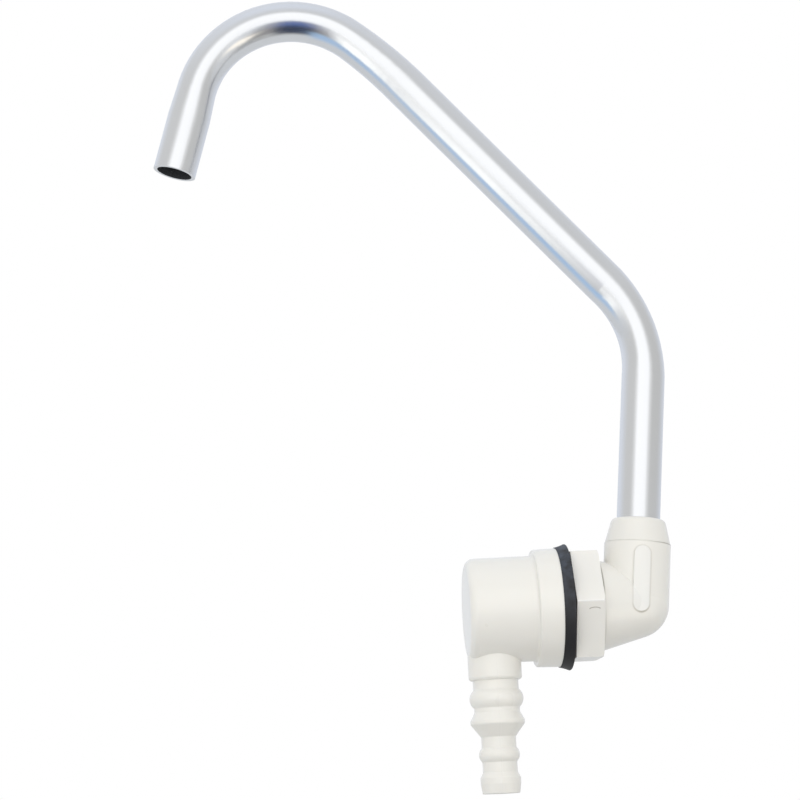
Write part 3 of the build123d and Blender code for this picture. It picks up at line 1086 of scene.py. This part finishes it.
@dataclass(frozen=True)
class Lamp:
    """An oval lamp that faces the tap, and that the camera doesn't see.

    Attributes:
        name: Its name.
        place_mm: Where it stands.
        size_m: Its width and height.
        level: How bright it looks, where 1 is white paper.
        mirrored: Whether the metal shows it.
    """

    name: str
    place_mm: Triple
    size_m: Pair
    level: float
    mirrored: bool = True

    def build(self, target_mm: Triple) -> None:
        """Hang the lamp.

        Args:
            target_mm: The point that it faces.
        """
        width, height = self.size_m
        data = bpy.data.lights.new(self.name, "AREA")
        data.shape = "ELLIPSE"
        data.size, data.size_y = width, height
        # A lamp with pi watts on each square metre looks like white paper, and the oval's area
        # is pi / 4 of its width times its height.
        data.energy = self.level * math.pi**2 / 4 * width * height
        light = bpy.data.objects.new(self.name, data)
        light.visible_camera = False
        light.visible_glossy = self.mirrored
        bpy.context.scene.collection.objects.link(light)
        place = Vector(self.place_mm) * MM
        turn = (Vector(target_mm) * MM - place).to_track_quat("-Z", "Y")
        light.matrix_world = Matrix.Translation(place) @ turn.to_matrix().to_4x4()


@dataclass(frozen=True)
class Tent:
    """The white tent round it all: plain white to the camera, softly graded to everything else.

    Attributes:
        front_hex: Colour of its front half.
        back_hex: Colour of its back, and of its crown.
        back_at: How far back it has turned to that colour, where 1 is straight behind the tap.
        crown: How far back the crown counts as, at its middle.
        crown_power: How closely the crown keeps to straight overhead.
        rise: Heights between which its light rises, where 1 is straight overhead.
        rise_levels: Its strength at those heights.
        side_levels: Its strength on the left and on the right.
    """

    front_hex: str = "D5D4D1"
    back_hex: str = "E5E9F0"
    back_at: float = 0.75
    crown: float = 0.8
    crown_power: float = 4.0
    rise: Pair = (-0.6, 0.8)
    rise_levels: Pair = (0.88, 1.0)
    side_levels: Pair = (1.17, 1.06)

    def build(self) -> None:
        """Put the tent up."""
        world = bpy.data.worlds.new("tent")
        bpy.context.scene.world = world
        world.use_nodes = True
        tree = world.node_tree
        tree.nodes.clear()
        place = add_node(tree, "ShaderNodeTexCoord")
        parts = add_node(tree, "ShaderNodeSeparateXYZ", {"Vector": place.outputs["Generated"]})
        graded = add_node(
            tree,
            "ShaderNodeBackground",
            {"Color": self.grade_colour(tree, parts), "Strength": self.grade_light(tree, parts)},
        )
        white = add_node(
            tree, "ShaderNodeBackground", {"Color": (1.0, 1.0, 1.0, 1.0), "Strength": 1.0}
        )
        ray = add_node(tree, "ShaderNodeLightPath")
        mixed = add_node(
            tree,
            "ShaderNodeMixShader",
            {"Fac": ray.outputs[Ray.CAMERA.value], 1: graded, 2: white},
        )
        add_node(tree, "ShaderNodeOutputWorld", {"Surface": mixed})

    def grade_colour(self, tree: Tree, parts: Node) -> Node:
        """Turn the tent's colour from its front to its back and its crown.

        Args:
            tree: The tree of the world.
            parts: The direction of the view, as three numbers.

        Returns:
            The node that gives the colour.
        """
        overhead = add_node(
            tree,
            "ShaderNodeMath",
            {0: parts.outputs["Z"], 1: self.crown_power},
            operation="POWER",
        )
        crown = add_node(
            tree, "ShaderNodeMath", {0: overhead, 1: self.crown}, operation="MULTIPLY"
        )
        above = add_node(
            tree, "ShaderNodeMath", {0: parts.outputs["Z"], 1: 0.0}, operation="GREATER_THAN"
        )
        lit_crown = add_node(tree, "ShaderNodeMath", {0: crown, 1: above}, operation="MULTIPLY")
        cool = add_node(
            tree,
            "ShaderNodeMath",
            {0: parts.outputs["Y"], 1: lit_crown},
            operation="MAXIMUM",
        )
        depth = add_node(tree, "ShaderNodeValToRGB", {"Fac": cool})
        front, back = depth.color_ramp.elements
        front.position = 0.0
        front.color = srgb(self.front_hex)
        back.position = self.back_at
        back.color = srgb(self.back_hex)
        return depth

    def grade_light(self, tree: Tree, parts: Node) -> Node:
        """Make the tent brighter upwards and to the left.

        Args:
            tree: The tree of the world.
            parts: The direction of the view, as three numbers.

        Returns:
            The node that gives the strength.
        """
        rise = add_node(
            tree,
            "ShaderNodeMapRange",
            {
                "Value": parts.outputs["Z"],
                "From Min": self.rise[0],
                "From Max": self.rise[1],
                "To Min": self.rise_levels[0],
                "To Max": self.rise_levels[1],
            },
        )
        aside = add_node(
            tree,
            "ShaderNodeMapRange",
            {
                "Value": parts.outputs["X"],
                "From Min": -1.0,
                "From Max": 1.0,
                "To Min": self.side_levels[0],
                "To Max": self.side_levels[1],
            },
        )
        return add_node(tree, "ShaderNodeMath", {0: rise, 1: aside}, operation="MULTIPLY")


@dataclass(frozen=True)
class Studio:
    """A white tent on a pale floor, with cards for the metal to mirror and lamps by the camera.

    Attributes:
        eye_mm: Where the camera stands.
        aim_mm: The point in the middle of the picture.
        roll_degrees: How far the camera is turned about its view.
        lens_mm: Focal length.
        film_mm: Width of the film.
        nearest_m: Distance from which the camera sees.
        target_mm: The point that the lamps face.
        floor_mm: Height of the floor.
        floor_span_m: Its width and depth.
        floor_front_mm: Where it ends, towards the camera and past it.
        floor_hex: Its colour.
        shade_hex: Its colour under the tap, for the light that it sends back.
        shade_centre_mm: Middle of that area, along X and Y.
        shade_size_mm: Width and depth of that area.
        card_lift_mm: Height of the lowest card above the floor.
        card_step_mm: Height from each card to the next.
    """

    eye_mm: Triple = (-86.007, -625.416, -56.922)
    aim_mm: Triple = (-40.773, -7.638, 57.864)
    roll_degrees: float = 2.75
    lens_mm: float = 103.5
    film_mm: float = 36.0
    nearest_m: float = 0.01
    target_mm: Triple = (-30.0, 0.0, 50.0)
    floor_mm: float = -160.0
    floor_span_m: float = 6.0
    floor_front_mm: float = -1150.0
    floor_hex: str = "F2F2F0"
    shade_hex: str = "C4C2BE"
    shade_centre_mm: Pair = (90.0, -120.0)
    shade_size_mm: Pair = (480.0, 420.0)
    card_lift_mm: float = 3.0
    card_step_mm: float = 1.0

    def build(self) -> None:
        """Set up the camera, the floor, the cards, the tent and the lamps."""
        self.add_camera()
        self.add_floor()
        self.lay_cards()
        Tent().build()
        self.hang_lamps()
        bpy.context.scene.view_settings.view_transform = "Standard"

    def add_camera(self) -> None:
        """Place the camera where the photograph was taken from."""
        eye = Vector(self.eye_mm) * MM
        aim = Vector(self.aim_mm) * MM
        data = bpy.data.cameras.new("camera")
        data.lens = self.lens_mm
        data.sensor_width = self.film_mm
        data.clip_start = self.nearest_m
        camera = bpy.data.objects.new("camera", data)
        bpy.context.scene.collection.objects.link(camera)
        look = (aim - eye).to_track_quat("-Z", "Y").to_matrix()
        roll = Matrix.Rotation(math.radians(-self.roll_degrees), 3, "Z")
        camera.matrix_world = Matrix.Translation(eye) @ (look @ roll).to_4x4()
        bpy.context.scene.camera = camera

    def add_floor(self) -> None:
        """Lay a pale floor that keeps the tap's shadow and sends less light up under the tap."""
        height = self.floor_mm * MM
        bpy.ops.mesh.primitive_plane_add(size=self.floor_span_m, location=(0, 0, height))
        floor = bpy.context.object
        floor.name = "floor"
        for corner in floor.data.vertices:
            corner.co.y = max(corner.co.y, self.floor_front_mm * MM)
        material, tree = fresh_material("pale_floor")
        place = add_node(tree, "ShaderNodeTexCoord")
        parts = add_node(tree, "ShaderNodeSeparateXYZ", {"Vector": place.outputs["Object"]})
        across, away = (
            add_node(
                tree,
                "ShaderNodeMath",
                {0: parts.outputs[axis], 1: centre * MM, 2: size / 2 * MM},
                operation="COMPARE",
            )
            for axis, centre, size in zip("XY", self.shade_centre_mm, self.shade_size_mm)
        )
        ray = add_node(tree, "ShaderNodeLightPath")
        from_tap = add_node(
            tree,
            "ShaderNodeMath",
            {0: ray.outputs[Ray.DIFFUSE.value], 1: ray.outputs[Ray.GLOSSY.value]},
            operation="MAXIMUM",
        )
        paint = paint_over(tree, srgb(self.floor_hex), self.shade_hex, across, away, from_tap)
        add_surface(tree, {"Base Color": paint, "Roughness": PAPER_ROUGHNESS})
        floor.data.materials.append(material)

    def lay_cards(self) -> None:
        """Lay the cards that the metal mirrors.

        A grey and a dark blue one lie before the tap, and give the tube its dark bands. A light
        blue one lies behind it on the left, and warm white ones lie to its right, to its left
        and far left, and give it its bright edges.
        """
        cards = (
            Card(
                "grey_card",
                centre_mm=(-65.0, -390.0),
                size_mm=(430.0, 820.0),
                near_hex="A9A5A1",
                far_hex="B4B2B1",
            ),
            Card(
                "dark_card",
                centre_mm=(-85.0, -352.0),
                size_mm=(200.0, 776.0),
                near_hex="253350",
                far_hex="4264A8",
            ),
            Card(
                "blue_card",
                centre_mm=(-370.0, 50.0),
                size_mm=(420.0, 260.0),
                near_hex="DFE8F2",
                far_hex="BCDAF8",
                turn_mm=(110.0, -10.0),
                glow=0.05,
            ),
            Card(
                "warm_card",
                centre_mm=(342.0, -341.0),
                size_mm=(565.0, 165.0),
                near_hex="FFF5E4",
                far_hex="FFF5E4",
                swing_degrees=129.0,
                glow=0.7,
            ),
            Card(
                "left_card",
                centre_mm=(-440.0, -290.0),
                size_mm=(180.0, 400.0),
                near_hex="FFFDF6",
                far_hex="FFFDF6",
                glow=0.75,
            ),
            Card(
                "far_card",
                centre_mm=(-550.0, -820.0),
                size_mm=(400.0, 640.0),
                near_hex="FFFDF6",
                far_hex="FFFDF6",
                glow=0.22,
            ),
        )
        for place, card in enumerate(cards):
            card.build(self.floor_mm + self.card_lift_mm + place * self.card_step_mm)

    def hang_lamps(self) -> None:
        """Hang the lamps by the camera.

        The fill lights the plastic alone. The other two stand one before the other, so that
        their highlight along the tube is bright in its middle and fades to both sides.
        """
        lamps = (
            Lamp(
                "fill_light",
                place_mm=(-120.0, -1205.0, 90.0),
                size_m=(2.2, 0.8),
                level=0.55,
                mirrored=False,
            ),
            Lamp("broad_light", place_mm=(-100.0, -1200.0, 270.0), size_m=(2.4, 1.55), level=0.22),
            Lamp("inner_light", place_mm=(-100.0, -1190.0, 250.0), size_m=(1.5, 1.22), level=0.42),
        )
        for lamp in lamps:
            lamp.build(self.target_mm)


def main() -> None:
    """Load the frame and build the tap on it, group by group."""
    logging.basicConfig(level=logging.INFO, format="%(name)s: %(message)s")
    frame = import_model()
    nodes = frame["nodes"]
    Studio().build()
    HousingGroup(nodes).build()
    ElbowGroup(nodes).build()
    SpoutGroup(nodes).build()


if __name__ == "__main__":
    main()
